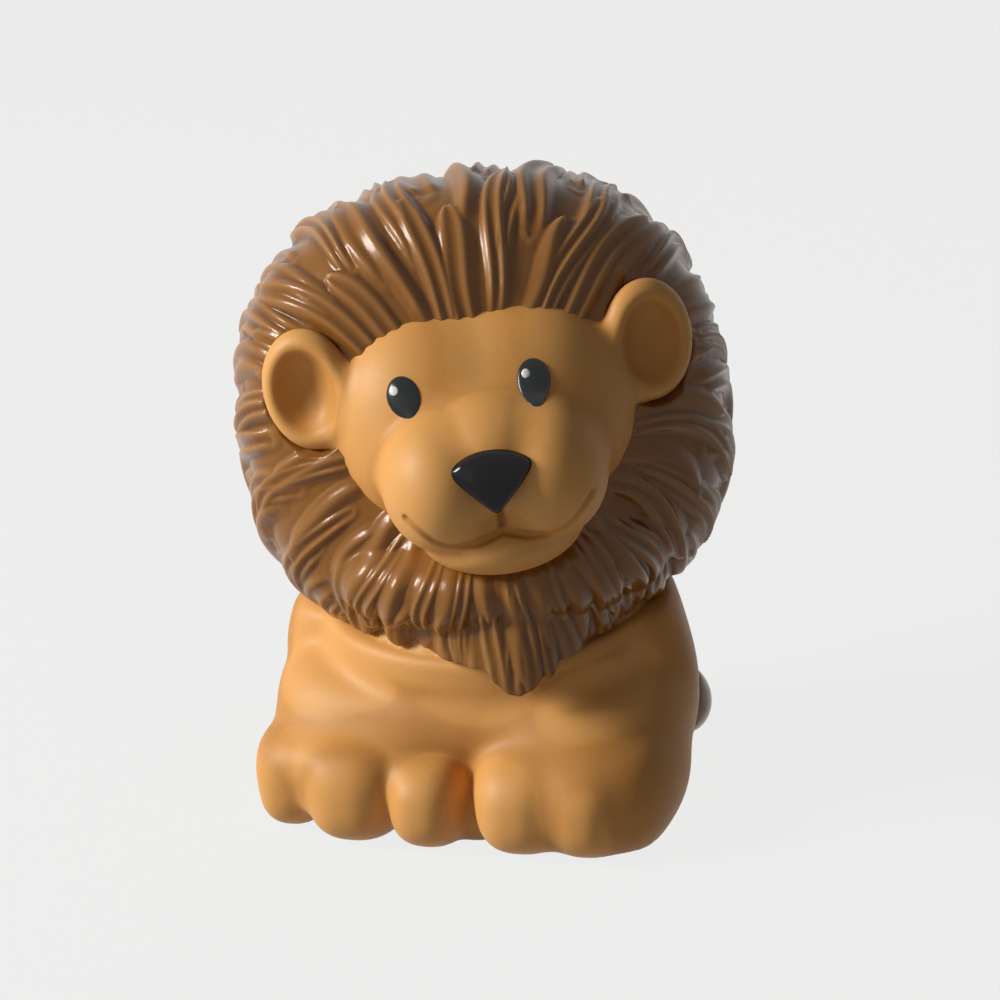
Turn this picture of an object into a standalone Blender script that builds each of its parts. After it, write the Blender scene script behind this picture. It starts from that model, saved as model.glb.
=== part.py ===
"""A small moulded toy lion, lying down, whose head turns on its neck.

Metres, +Z up. The lion faces -Y, so its left side is +X. The origin is on the ground, under the trunk.
The head is modelled upright, looking straight ahead. It sits on its neck with a small tilt, HEAD_TILT, and is
then turned about the neck by HEAD_TURN.
"""

import math

import bmesh
import bpy
from mathutils import Matrix, Vector

# Fits
SEAT_GAP = 0.0003
INLAY_GAP = 0.00015
RUNNING_GAP = 0.0004
FAR = 0.060
MERGE = 0.00001

# Trunk and haunches
TRUNK_WIDTH = 0.0352
TRUNK_LENGTH = 0.0320
TRUNK_HEIGHT = 0.0240
TRUNK_BACK = 0.0010
BREAST_WIDTH = 0.0310
BREAST_REACH = 0.0160
BREAST_HEIGHT = 0.0150
BREAST_FOOT = 0.0055
HAUNCH_SPREAD = 0.0108
HAUNCH_WIDTH = 0.0134
HAUNCH_LENGTH = 0.0170
HAUNCH_HEIGHT = 0.0160
HAUNCH_BACK = 0.0068
HIND_PAW_SPREAD = 0.0138
HIND_PAW_WIDTH = 0.0070
HIND_PAW_LENGTH = 0.0130
HIND_PAW_HEIGHT = 0.0060

# Front legs and paws
PAW_WIDTH = 0.0202
PAW_REACH = 0.0226
PAW_LENGTH = 0.0160
PAW_HEIGHT = 0.0104
LEG_SPREAD = 0.0114
LEG_WIDTH = 0.0180
LEG_HEIGHT = 0.0190
LEG_BACK = 0.0076
SHOULDER_SPREAD = 0.0124
SHOULDER_WIDTH = 0.0168
SHOULDER_BACK = 0.0046
SHOULDER_RISE = 0.0148

# Underside
HOLLOW_WIDTH = 0.0225
HOLLOW_LENGTH = 0.0235
HOLLOW_HEIGHT = 0.0180
PLATE_WIDTH = 0.0240
PLATE_LENGTH = 0.0250
PLATE_BACK = 0.0000
PLATE_THICKNESS = 0.0020

# Neck
NECK_BACK = -0.0017
NECK_HEIGHT = TRUNK_HEIGHT * 0.925
NECK_LEAN = math.radians(8)
HEAD_TURN = math.radians(20)
HEAD_TILT = math.radians(1.3)
DOME_RISE = 0.0030
DOME_FLAT_RADIUS = 0.0080
DOME_RADIUS = 0.0150
RIM_DROP = 0.0016
NECK_WALL = 0.0022
HEAD_FLOOR = 0.0024
STEM_RADIUS = 0.0040
STEM_TAIL = 0.0012
FLANGE_RADIUS = 0.0066
FLANGE_THICKNESS = 0.0015
CLIP_RADIUS = 0.0062
CLIP_THICKNESS = 0.0014
CLIP_GROOVE = 0.0008

# Tail
TAIL_RADIUS = 0.0020
TAIL_LIFT = 0.0050
TAIL_START = math.radians(100)
TAIL_END = math.radians(42)
TUFT_END = math.radians(8)
TUFT_RADIUS = 0.0025

# Skull, muzzle and chin
HEAD_RISE = 0.0169
HEAD_WALL = 0.0022
SKULL_WIDTH = 0.0284
SKULL_DEPTH = 0.0290
SKULL_HEIGHT = 0.0270
MUZZLE_WIDTH = 0.0212
MUZZLE_HEIGHT = 0.0120
MUZZLE_REACH = 0.0216
MUZZLE_DROP = 0.0014
CHIN_WIDTH = 0.0176
CHIN_HEIGHT = 0.0082
CHIN_REACH = 0.0192
CHIN_DROP = 0.0077
MOUTH_DROP = 0.0056
MOUTH_RADIUS = 0.00040

# Ears
EAR_SPREAD = 0.0163
EAR_RISE = 0.0061
EAR_FORWARD = 0.0070
EAR_WIDTH = 0.0090
EAR_HEIGHT = 0.0116
EAR_RIM = 0.0011
EAR_THICKNESS = 0.0040
EAR_YAW = math.radians(22)

# Eyes and nose
EYE_SPACING = 0.0119
EYE_SHIFT = 0.0012
EYE_RISE = 0.0055
EYE_WIDTH = 0.0034
EYE_HEIGHT = 0.0040
EYE_DEPTH = 0.0016
GLINT_RADIUS = 0.00045
NOSE_WIDTH = 0.0090
NOSE_HEIGHT = 0.0058
NOSE_DEPTH = 0.0048
NOSE_DROP = 0.0008
NOSE_ROUND = 0.0011

# Mane
MANE_WIDTH = 0.0467
MANE_FRONT = 0.0128
MANE_BACK = 0.0170
MANE_UP = 0.0243
MANE_DOWN = 0.0195
MANE_SETBACK = 0.0032
MANE_SINK = 0.0023
BEARD_REACH = 0.0190
BEARD_DROP = 0.0220
BEARD_SWELL = 0.0082
BEARD_SPREAD = math.radians(35)
TIP_SWELL = 0.0040
TIP_SPREAD = math.radians(13)
# The room in which the beard's tip sweeps past the chest
SWEEP_RADIUS = 0.0183
SWEEP_DROP = 0.0046
SWEEP_BACK = 0.0094
TIP_WIDTH = 0.0090
COLLAR_RADIUS = 0.0142
COLLAR_THICKNESS = 0.0080
COLLAR_RISE = 0.0052
MANE_SPLIT = 0.0040
LOCK_WIDTH = 0.0052
LOCK_LIFT = 0.0013
LOCK_LENGTH = 0.0128
LOCK_SINK = 0.00045

SHARP = math.radians(40)

# How finely the soft forms are meshed
FINE_VOXEL = 0.00060
COARSE_VOXEL = 0.00090


def clear_scene():
    """Removes the startup objects."""
    for old in list(bpy.data.objects):
        bpy.data.objects.remove(old)


def collection(name):
    """A new collection in the scene."""
    made = bpy.data.collections.new(name)
    bpy.context.scene.collection.children.link(made)
    return made


def material(name, colour, roughness):
    """A Principled material of one colour."""
    made = bpy.data.materials.new(name)
    made.use_nodes = True
    shader = made.node_tree.nodes["Principled BSDF"]
    shader.inputs["Base Color"].default_value = (*colour, 1)
    shader.inputs["Roughness"].default_value = roughness
    made.diffuse_color = (*colour, 1)
    return made


clear_scene()
PARTS = collection("toy_lion")
CUTTERS = collection("cutters")
TAN = material("tan_vinyl", (0.72, 0.40, 0.15), 0.42)
BROWN = material("brown_vinyl", (0.20, 0.085, 0.030), 0.25)
BLACK = material("black_gloss", (0.012, 0.013, 0.014), 0.12)
WHITE = material("white_gloss", (0.85, 0.85, 0.85), 0.25)
GREY = material("neck_plastic", (0.55, 0.55, 0.52), 0.45)

NECK = Vector((0, NECK_BACK, NECK_HEIGHT))
NECK_FRAME = Matrix.Translation(NECK) @ Matrix.Rotation(NECK_LEAN, 4, "X")
NECK_AXIS = (NECK_FRAME.to_3x3() @ Vector((0, 0, 1))).normalized()
HEAD = NECK + NECK_AXIS * HEAD_RISE
# Where the neck's frame is while the head stands upright
HEAD_NECK = (Matrix.Translation(HEAD) @ Matrix.Rotation(HEAD_TILT, 4, "Y")
             @ Matrix.Rotation(NECK_LEAN, 4, "X") @ Matrix.Translation((0, 0, -HEAD_RISE)))
MANE = HEAD + Vector((0, MANE_SETBACK, -MANE_SINK))


def placed(name, mesh, finish=None):
    """An object among the parts, with its finish, or else a cutter."""
    made = bpy.data.objects.new(name, mesh)
    (PARTS if finish else CUTTERS).objects.link(made)
    if finish:
        mesh.materials.clear()
        mesh.materials.append(finish)
    else:
        made.hide_render = True
        made.display_type = "WIRE"
    return made


def from_shape(name, shape, finish=None):
    """An object with the shape's mesh."""
    mesh = bpy.data.meshes.new(name)
    shape.to_mesh(mesh)
    shape.free()
    return placed(name, mesh, finish)


def frozen(source):
    """The mesh of an object with its modifiers applied."""
    bpy.context.view_layer.update()
    graph = bpy.context.evaluated_depsgraph_get()
    return bpy.data.meshes.new_from_object(source.evaluated_get(graph))


def freeze(source):
    """Applies an object's modifiers to it."""
    mesh = frozen(source)
    source.modifiers.clear()
    source.data = mesh
    return source


def cut(target, *cutters):
    """Takes the cutters out of the target."""
    for cutter in cutters:
        boolean = target.modifiers.new(cutter.name, "BOOLEAN")
        boolean.operation = "DIFFERENCE"
        boolean.object = cutter


def add_lump(shape, centre, radii, turn=None, segments=32):
    """Adds one egg or ball to the shape."""
    matrix = Matrix.Translation(centre) @ (turn or Matrix()) @ Matrix.Diagonal((*radii, 1))
    rings = segments * 5 // 8
    bmesh.ops.create_uvsphere(shape, u_segments=segments, v_segments=rings, radius=1, matrix=matrix)


def add_strands(shape, paths, closed=False):
    """Adds tubes: each path is a list of places with a radius."""
    curve = bpy.data.curves.new("strands", "CURVE")
    curve.dimensions = "3D"
    unit_bevel = 1
    curve.bevel_depth = unit_bevel
    curve.bevel_resolution = 2
    curve.use_fill_caps = True
    for path in paths:
        spline = curve.splines.new("POLY")
        spline.points.add(len(path) - 1)
        spline.use_cyclic_u = closed
        for point, (place, radius) in zip(spline.points, path):
            point.co = (*place, 1)
            point.radius = radius
    holder = bpy.data.objects.new("strands", curve)
    CUTTERS.objects.link(holder)
    mesh = frozen(holder)
    shape.from_mesh(mesh)
    bpy.data.objects.remove(holder)
    bpy.data.meshes.remove(mesh)


def add_ring(shape, centre, radii, thickness, turn, steps=32):
    """Adds an oval ring of round section about the turned Z axis."""
    path = []
    for i in range(steps):
        angle = math.tau * i / steps
        spoke = Vector((radii[0] * math.cos(angle), radii[1] * math.sin(angle), 0))
        path.append((centre + turn.to_3x3() @ spoke, thickness))
    add_strands(shape, [path], closed=True)


def add_skin(target, voxel):
    """One even skin over everything in the target."""
    remesh = target.modifiers.new("skin", "REMESH")
    remesh.mode = "VOXEL"
    remesh.voxel_size = voxel


def soft_form(name, shape, voxel, rounds, triangles, finish=None, trim=None):
    """One smooth skin over all the lumps of the shape, thinned to about the given triangles."""
    made = from_shape(name, shape, finish)
    add_skin(made, voxel)
    if trim:
        cut(made, *trim)
        add_skin(made, voxel)
    smooth = made.modifiers.new("soften", "SMOOTH")
    smooth.factor = 0.5
    smooth.iterations = rounds
    freeze(made)
    thin = made.modifiers.new("thin", "DECIMATE")
    thin.ratio = min(1, triangles / (2 * len(made.data.polygons)))
    freeze(made)
    if finish:
        made.data.materials.clear()
        made.data.materials.append(finish)
    made.data.shade_smooth()
    return made


def grown(source, name, gap):
    """A cutter with the source's shape, larger all over by the gap."""
    made = placed(name, source.data.copy())
    swell = made.modifiers.new("swell", "DISPLACE")
    swell.strength = gap
    swell.mid_level = 0
    return freeze(made)


def turned(name, profile, frame, finish=None, steps=32):
    """A solid turned about the frame's Z axis.

    The profile starts and ends on the axis, or else it is closed."""
    mesh = bpy.data.meshes.new(name)
    corners = [(radius, 0, height) for radius, height in profile]
    edges = [(i, i + 1) for i in range(len(corners) - 1)]
    if profile[0][0] > 0:
        edges.append((len(corners) - 1, 0))
    mesh.from_pydata(corners, edges, [])
    made = placed(name, mesh, finish)
    screw = made.modifiers.new("turn", "SCREW")
    screw.steps = steps
    screw.render_steps = steps
    screw.use_merge_vertices = True
    screw.merge_threshold = MERGE
    freeze(made)
    made.data.transform(frame)
    if finish:
        made.data.materials.clear()
        made.data.materials.append(finish)
    made.data.shade_smooth()
    made.data.set_sharp_from_angle(angle=SHARP)
    return made


def box(name, low, high):
    """A box cutter between two corners."""
    low, high = Vector(low), Vector(high)
    shape = bmesh.new()
    matrix = Matrix.Translation((low + high) / 2) @ Matrix.Diagonal((*(high - low), 1))
    bmesh.ops.create_cube(shape, size=1, matrix=matrix)
    return from_shape(name, shape)


def surface_point(target, across, up):
    """Where a line straight back from the front meets the target, and the outward direction there."""
    _, place, normal, _ = target.ray_cast(Vector((across, -FAR, up)), Vector((0, 1, 0)))
    return place, normal


def neck_profile(gap):
    """The joint between body and head, from the dome's top down its side and out over the flat rim.

    It is turned about the neck's axis, so the head clears the body at every angle."""
    points = [(0, DOME_RISE + gap)]
    dome_steps = 5
    for i in range(dome_steps + 1):
        angle = math.radians(90) * i / dome_steps
        radius = DOME_FLAT_RADIUS + (DOME_RADIUS - DOME_FLAT_RADIUS) * math.sin(angle) + gap * i / dome_steps
        points.append((radius, DOME_RISE + gap - (DOME_RISE + RIM_DROP) * (1 - math.cos(angle))))
    return points


def head_space(name, gap):
    """Everything above the dome and the rim: the body keeps out of it."""
    profile = [(0, FAR), (FAR, FAR), (FAR, gap - RIM_DROP)]
    return turned(name, profile + neck_profile(gap)[::-1], NECK_FRAME)


def sweep_space(name, gap):
    """The room in front of the chest in which the beard's tip sweeps."""
    inner = SWEEP_RADIUS - gap
    low = gap - SWEEP_DROP
    room = turned(name, [(inner, low), (FAR, low), (FAR, FAR), (inner, FAR)], NECK_FRAME)
    cut(room, box(name + "_end", (-2 * FAR, -SWEEP_BACK, -2 * FAR), (2 * FAR, 2 * FAR, 3 * FAR)))
    return freeze(room)


def neck_hollow():
    """What the head leaves free for the dome and the rim, and for the chest behind the beard's tip."""
    outer = SWEEP_RADIUS + RUNNING_GAP
    rim = RUNNING_GAP - RIM_DROP
    low = RUNNING_GAP - SWEEP_DROP
    profile = neck_profile(RUNNING_GAP) + [(outer, rim), (outer, low), (FAR, low), (FAR, -FAR), (0, -FAR)]
    hollow = turned("neck_hollow", profile, HEAD_NECK)
    sides = []
    for side in (1, -1):
        edges = sorted((side * TIP_WIDTH / 2, side * FAR))
        beside = box("beside_tip", (edges[0], -FAR, -FAR), (edges[1], FAR, rim))
        beside.data.transform(HEAD_NECK)
        sides.append(beside)
    return [hollow] + sides


def spindle_room():
    """The hole and the pocket for the spindle in the floor of the head."""
    floor = DOME_RISE + RUNNING_GAP + HEAD_FLOOR
    pocket = floor + FLANGE_THICKNESS + 2 * SEAT_GAP
    wide = FLANGE_RADIUS + SEAT_GAP
    narrow = STEM_RADIUS + SEAT_GAP
    profile = [(0, pocket), (wide, pocket), (wide, floor), (narrow, floor), (narrow, -FAR), (0, -FAR)]
    return turned("spindle_room", profile, HEAD_NECK)


def post(name, radius, top, bottom):
    """A round cutter along the neck's axis."""
    return turned(name, [(0, top), (radius, top), (radius, bottom), (0, bottom)], NECK_FRAME)


def oval_disc(name, gap, top, bottom, finish=None):
    """The oval of the plate, widened by the gap, between two heights."""
    shape = bmesh.new()
    size = (PLATE_WIDTH / 2 + gap, PLATE_LENGTH / 2 + gap, top - bottom, 1)
    matrix = Matrix.Translation((0, PLATE_BACK, (top + bottom) / 2)) @ Matrix.Diagonal(size)
    bmesh.ops.create_cone(shape, cap_ends=True, segments=40, radius1=1, radius2=1, depth=1, matrix=matrix)
    return from_shape(name, shape, finish)


def make_body():
    """Trunk, legs and paws in one hollow moulding."""
    shape = bmesh.new()
    trunk = (TRUNK_WIDTH / 2, TRUNK_LENGTH / 2, TRUNK_HEIGHT * 0.60)
    add_lump(shape, (0, TRUNK_BACK, TRUNK_HEIGHT * 0.40), trunk)
    shoulders = (DOME_RADIUS * 1.16, DOME_RADIUS * 1.12, DOME_RADIUS * 0.62)
    add_lump(shape, NECK - Vector((0, 0, DOME_RISE)), shoulders)
    breast = (BREAST_WIDTH / 2, BREAST_REACH * 0.65, BREAST_HEIGHT / 2)
    add_lump(shape, (0, -BREAST_REACH * 0.35, BREAST_FOOT + BREAST_HEIGHT / 2), breast)
    for side in (1, -1):
        haunch = (side * HAUNCH_SPREAD, HAUNCH_BACK, HAUNCH_HEIGHT * 0.46)
        add_lump(shape, haunch, (HAUNCH_WIDTH / 2, HAUNCH_LENGTH / 2, HAUNCH_HEIGHT * 0.54))
        foot = (side * HIND_PAW_SPREAD, HAUNCH_BACK - HIND_PAW_LENGTH / 2, HIND_PAW_HEIGHT * 0.45)
        add_lump(shape, foot, (HIND_PAW_WIDTH / 2, HIND_PAW_LENGTH / 2, HIND_PAW_HEIGHT * 0.55))
    # The right leg ends above its paw, and the left one runs down into it
    right_leg = (-LEG_SPREAD, -LEG_BACK, LEG_HEIGHT * 0.67)
    add_lump(shape, right_leg, (LEG_WIDTH * 0.51, LEG_WIDTH * 0.53, LEG_HEIGHT * 0.33))
    left_leg = (LEG_SPREAD * 0.98, -LEG_BACK * 1.05, LEG_HEIGHT * 0.46)
    add_lump(shape, left_leg, (LEG_WIDTH * 0.49, LEG_WIDTH * 0.60, LEG_HEIGHT * 0.50))
    for side in (1, -1):
        shoulder = (side * SHOULDER_SPREAD, -SHOULDER_BACK, SHOULDER_RISE)
        half = SHOULDER_WIDTH / 2 * (1 if side < 0 else 0.94)
        add_lump(shape, shoulder, (half, half * 0.98, half * 1.05))
    for across, back in ((-0.55, 0.62), (0.48, 0.62)):
        paw = (across * PAW_WIDTH, -PAW_REACH + PAW_LENGTH * back, PAW_HEIGHT * 0.47)
        add_lump(shape, paw, (PAW_WIDTH * 0.42, PAW_LENGTH * 0.52, PAW_HEIGHT * 0.45))
    # Each toe's place across and back, its half width and its half height, as shares of the paw
    toe_shares = ((-0.92, 0.62, 0.165, 0.50), (-0.59, 0.48, 0.215, 0.54), (-0.20, 0.46, 0.200, 0.54),
                  (0.24, 0.44, 0.230, 0.54), (0.59, 0.47, 0.180, 0.51), (0.83, 0.64, 0.160, 0.48))
    for across, back, wide, tall in toe_shares:
        toe = (across * PAW_WIDTH, -PAW_REACH + PAW_LENGTH * back, PAW_HEIGHT * (tall - 0.02))
        add_lump(shape, toe, (PAW_WIDTH * wide, PAW_LENGTH * 0.46, PAW_HEIGHT * tall))
    web = (0, -PAW_REACH + PAW_LENGTH * 0.72, PAW_HEIGHT * 0.30)
    add_lump(shape, web, (PAW_WIDTH * 0.25, PAW_LENGTH * 0.30, PAW_HEIGHT * 0.42))
    trim = (head_space("shoulder_trim", SEAT_GAP), sweep_space("chest_trim", SEAT_GAP))
    body = soft_form("body_shell", shape, COARSE_VOXEL, 5, 1600, TAN, trim)
    hollow = bmesh.new()
    room = (HOLLOW_WIDTH / 2, HOLLOW_LENGTH / 2, HOLLOW_HEIGHT - PLATE_THICKNESS)
    add_lump(hollow, (0, PLATE_BACK, PLATE_THICKNESS), room, None, 20)
    under_neck = DOME_RISE - NECK_WALL
    cut(body,
        head_space("head_space", 0),
        sweep_space("sweep_space", 0),
        box("ground", (-FAR, -FAR, -FAR), (FAR, FAR, 0)),
        from_shape("hollow", hollow),
        oval_disc("plate_opening", SEAT_GAP, PLATE_THICKNESS, -FAR),
        post("clip_well", CLIP_RADIUS + RUNNING_GAP, under_neck, -HOLLOW_HEIGHT / 2),
        post("neck_hole", STEM_RADIUS + RUNNING_GAP, FAR, -HOLLOW_HEIGHT / 2))
    return body


def make_base():
    """The plate that closes the underside."""
    base = oval_disc("base_plate", 0, PLATE_THICKNESS - SEAT_GAP, 0, TAN)
    base.data.shade_smooth()
    base.data.set_sharp_from_angle(angle=SHARP)
    return base


def make_neck():
    """The spindle that holds the head, and the clip that holds the spindle."""
    floor = DOME_RISE + RUNNING_GAP + HEAD_FLOOR + SEAT_GAP
    clip_top = DOME_RISE - NECK_WALL - RUNNING_GAP
    clip_low = clip_top - CLIP_THICKNESS
    foot = clip_low - STEM_TAIL
    waist = STEM_RADIUS - CLIP_GROOVE
    spindle = turned("neck_spindle", [
        (0, floor + FLANGE_THICKNESS), (FLANGE_RADIUS, floor + FLANGE_THICKNESS), (FLANGE_RADIUS, floor),
        (STEM_RADIUS, floor), (STEM_RADIUS, clip_top + SEAT_GAP), (waist, clip_top + SEAT_GAP),
        (waist, clip_low - SEAT_GAP), (STEM_RADIUS, clip_low - SEAT_GAP), (waist, foot), (0, foot)],
        HEAD_NECK, GREY, 24)
    bore = waist + INLAY_GAP
    clip = turned("neck_clip", [
        (bore, clip_top), (CLIP_RADIUS, clip_top), (CLIP_RADIUS, clip_low), (bore, clip_low)],
        HEAD_NECK, GREY, 24)
    return spindle, clip


def ear_frame(side):
    """An ear's middle, and the turn that lays it flat: its Z axis points out of the cup."""
    facing = Matrix.Rotation(side * EAR_YAW, 4, "Z") @ Matrix.Rotation(math.radians(90), 4, "X")
    return HEAD + Vector((side * EAR_SPREAD, -EAR_FORWARD, EAR_RISE)), facing


def make_face():
    """The tan head moulding: skull, temples, muzzle, chin and ears."""
    shape = bmesh.new()
    add_lump(shape, HEAD, (SKULL_WIDTH / 2, SKULL_DEPTH / 2, SKULL_HEIGHT / 2))
    middle = HEAD.z - MUZZLE_DROP
    root = (MUZZLE_WIDTH * 0.50, MUZZLE_REACH * 0.42, MUZZLE_HEIGHT * 0.53)
    add_lump(shape, (0, HEAD.y - MUZZLE_REACH * 0.50, middle), root)
    bridge = (MUZZLE_WIDTH * 0.30, MUZZLE_REACH * 0.34, MUZZLE_HEIGHT * 0.38)
    add_lump(shape, (0, HEAD.y - MUZZLE_REACH * 0.58, middle + MUZZLE_HEIGHT * 0.20), bridge)
    chin = (0, HEAD.y - CHIN_REACH + CHIN_WIDTH * 0.47, HEAD.z - CHIN_DROP)
    add_lump(shape, chin, (CHIN_WIDTH / 2, CHIN_WIDTH * 0.47, CHIN_HEIGHT / 2))
    for side in (1, -1):
        temple = (side * SKULL_WIDTH * 0.20, HEAD.y - SKULL_DEPTH * 0.17, HEAD.z + SKULL_HEIGHT * 0.06)
        add_lump(shape, temple, (SKULL_WIDTH * 0.30, SKULL_DEPTH * 0.29, SKULL_HEIGHT * 0.37))
        lobe = (side * MUZZLE_WIDTH * 0.21, HEAD.y - MUZZLE_REACH * 0.66, middle - MUZZLE_HEIGHT * 0.06)
        add_lump(shape, lobe, (MUZZLE_WIDTH * 0.26, MUZZLE_REACH * 0.31, MUZZLE_HEIGHT * 0.46))
        place, facing = ear_frame(side)
        add_ring(shape, place, (EAR_WIDTH / 2 - EAR_RIM, EAR_HEIGHT / 2 - EAR_RIM), EAR_RIM, facing)
        back = place + facing.to_3x3() @ Vector((0, 0, -EAR_THICKNESS * 0.46))
        add_lump(shape, back, (EAR_WIDTH * 0.49, EAR_HEIGHT * 0.49, EAR_THICKNESS * 0.5), facing)
    return soft_form("face", shape, FINE_VOXEL, 3, 1600, TAN)


def mane_reach(way):
    """How far the mane reaches from its middle in a direction, with the swell of the beard and its tip."""
    power = 2.45
    across = abs(way.x) / (MANE_WIDTH / 2)
    along = abs(way.y) / (MANE_FRONT if way.y < 0 else MANE_BACK)
    up = abs(way.z) / (MANE_UP if way.z > 0 else MANE_DOWN)
    plain = (across ** power + along ** power + up ** power) ** (-1 / power)
    away = way.angle(Vector((0, -BEARD_REACH, -BEARD_DROP)))
    return (plain + BEARD_SWELL * math.exp(-(away / BEARD_SPREAD) ** 2)
            + TIP_SWELL * math.exp(-(away / TIP_SPREAD) ** 2))


def lock_path(way, length, half_width, lift):
    """One lock, as a thick strand of which only the top stands out of the mane.

    It runs away from the face, and down where nothing holds it up. It rises to its tip and ends round."""
    steps = 8
    root_share, rise_share, tip_share = 0.5, 0.25, 0.72
    path = []
    for i in range(steps + 1):
        share = i / steps
        reach = mane_reach(way)
        taper = root_share + (1 - root_share) * math.sin(math.radians(90) * min(1, share / 0.62))
        tip = max(0, share - tip_share) / (1 - tip_share)
        half = half_width * max(0.12, taper * math.sqrt(1 - tip ** 2))
        rise = lift * (rise_share + (1 - rise_share) * min(1, share / 0.77))
        radius = (half ** 2 + rise ** 2) / (2 * rise)
        path.append((MANE + way * (reach - LOCK_SINK + rise - radius), radius))
        behind = max(0, way.y)
        low = max(0, 0.35 - way.z)
        down = 0.2 + (0.4 + 0.9 * low) * share + 1.6 * behind
        pull = Vector((way.x, 0.95 * (1 - behind) * (1 - 0.45 * low), way.z - down))
        along = pull - way * pull.dot(way)
        way = (way + along.normalized() * length / steps / reach).normalized()
    return path


def mane_locks():
    """Rows of locks from the face's edge to the back of the head, and the beard's under the chin."""
    # How far from straight ahead, how many, where round the face and over how much of it,
    # and the length, width and lift
    row_shares = ((0.125, 7, 0.75, 0.26, 0.62, 0.44, 0.60), (0.170, 9, 0.75, 0.34, 0.70, 0.50, 0.75),
                  (0.215, 11, 0.75, 0.42, 0.80, 0.60, 0.85), (0.265, 38, 0.0, 1.0, 0.98, 0.60, 0.70),
                  (0.37, 36, 0.014, 1.0, 1.02, 0.77, 0.85), (0.48, 32, 0.0, 1.0, 1.06, 0.92, 0.92),
                  (0.59, 28, 0.018, 1.0, 1.02, 1.0, 0.92), (0.71, 22, 0.0, 1.0, 0.94, 1.04, 0.88),
                  (0.83, 14, 0.036, 1.0, 0.86, 1.08, 0.80), (0.94, 6, 0.0, 1.0, 0.70, 1.08, 0.72))
    paths = []
    for row, (tilt_share, number, middle_share, spread_share, long, wide, high) in enumerate(row_shares):
        for i in range(number):
            wave = math.sin(2.4 * i + 1.9 * row)
            other = math.cos(1.7 * i + 0.8 * row)
            tilt = math.pi * (tilt_share + 0.022 * wave)
            around = math.tau * (middle_share + spread_share * ((i + 0.5 + 0.2 * other) / number - 0.5))
            out = math.sin(tilt)
            way = Vector((out * math.cos(around), -math.cos(tilt), out * math.sin(around)))
            half_width = LOCK_WIDTH / 2 * wide * (1 + 0.18 * other)
            length = LOCK_LENGTH * long * (1 + 0.22 * wave)
            lift = LOCK_LIFT * high * (1 + 0.2 * wave)
            paths.append(lock_path(way, length, half_width, lift))
    return paths


def make_mane(face):
    """The mane in two halves round the face, split across the head."""
    shape = bmesh.new()
    bmesh.ops.create_uvsphere(shape, u_segments=48, v_segments=32, radius=1)
    for corner in shape.verts:
        way = corner.co.normalized()
        corner.co = MANE + way * (mane_reach(way) - LOCK_SINK)
    collar_middle = HEAD_NECK @ Vector((0, 0, COLLAR_RISE))
    add_ring(shape, collar_middle, (COLLAR_RADIUS, COLLAR_RADIUS), COLLAR_THICKNESS / 2, HEAD_NECK)
    add_strands(shape, mane_locks())
    whole = soft_form("mane_whole", shape, FINE_VOXEL, 1, 4700)
    split = HEAD.y + MANE_SPLIT
    behind = box("behind_split", (-FAR, split - SEAT_GAP / 2, -FAR), (FAR, FAR, 2 * FAR))
    ahead = box("ahead_of_split", (-FAR, -FAR, -FAR), (FAR, split + SEAT_GAP / 2, 2 * FAR))
    hollow = bmesh.new()
    skull = Vector((SKULL_WIDTH, SKULL_DEPTH, SKULL_HEIGHT)) / 2
    add_lump(hollow, HEAD, skull - Vector((HEAD_WALL, HEAD_WALL, HEAD_WALL)), None, 20)
    inside = from_shape("head_hollow", hollow)
    room = neck_hollow()
    pin = spindle_room()
    face_space = grown(face, "face_space", SEAT_GAP)
    ear_rooms = []
    for side in (1, -1):
        place, facing = ear_frame(side)
        cup = bmesh.new()
        cup_middle = place + facing.to_3x3() @ Vector((0, 0, EAR_THICKNESS * 0.5))
        add_lump(cup, cup_middle, (EAR_WIDTH * 0.47, EAR_HEIGHT * 0.47, EAR_THICKNESS), facing, 16)
        ear_rooms.append(from_shape("ear_room", cup))
    front = placed("mane_front", whole.data.copy(), BROWN)
    back = placed("mane_back", whole.data.copy(), BROWN)
    bpy.data.objects.remove(whole)
    cut(front, *room, face_space, behind, inside, pin, *ear_rooms)
    cut(back, *room, ahead, inside, pin)
    cut(face, inside, behind, pin)
    return front, back


def make_nose(face):
    """The nose: a wide top that slopes back, over a front that narrows to its tip."""
    place, _ = surface_point(face, 0, HEAD.z - NOSE_DROP)
    # Half width, depth and height of each corner, as shares of the nose's size
    corner_shares = {(1, 1): (0.46, 0.50, 0.50), (1, -1): (0.52, -0.50, 0.20),
                     (-1, 1): (0.16, 0.50, -0.56), (-1, -1): (0.16, -0.22, -0.56)}
    shape = bmesh.new()
    bmesh.ops.create_cube(shape, size=2)
    for corner in shape.verts:
        side = math.copysign(1, corner.co.x)
        across, along, up = corner_shares[(round(corner.co.z), round(corner.co.y))]
        corner.co = Vector((side * across * NOSE_WIDTH, along * NOSE_DEPTH, up * NOSE_HEIGHT))
    middle = Vector((0, place.y + NOSE_DEPTH * 0.10, HEAD.z - NOSE_DROP))
    bmesh.ops.translate(shape, verts=shape.verts, vec=middle)
    made = from_shape("nose", shape, BLACK)
    rounding = made.modifiers.new("rounding", "BEVEL")
    rounding.width = NOSE_ROUND
    rounding.segments = 3
    freeze(made)
    made.data.materials.clear()
    made.data.materials.append(BLACK)
    made.data.shade_smooth()
    cut(face, grown(made, "nose_pocket", INLAY_GAP))
    return made


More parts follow.
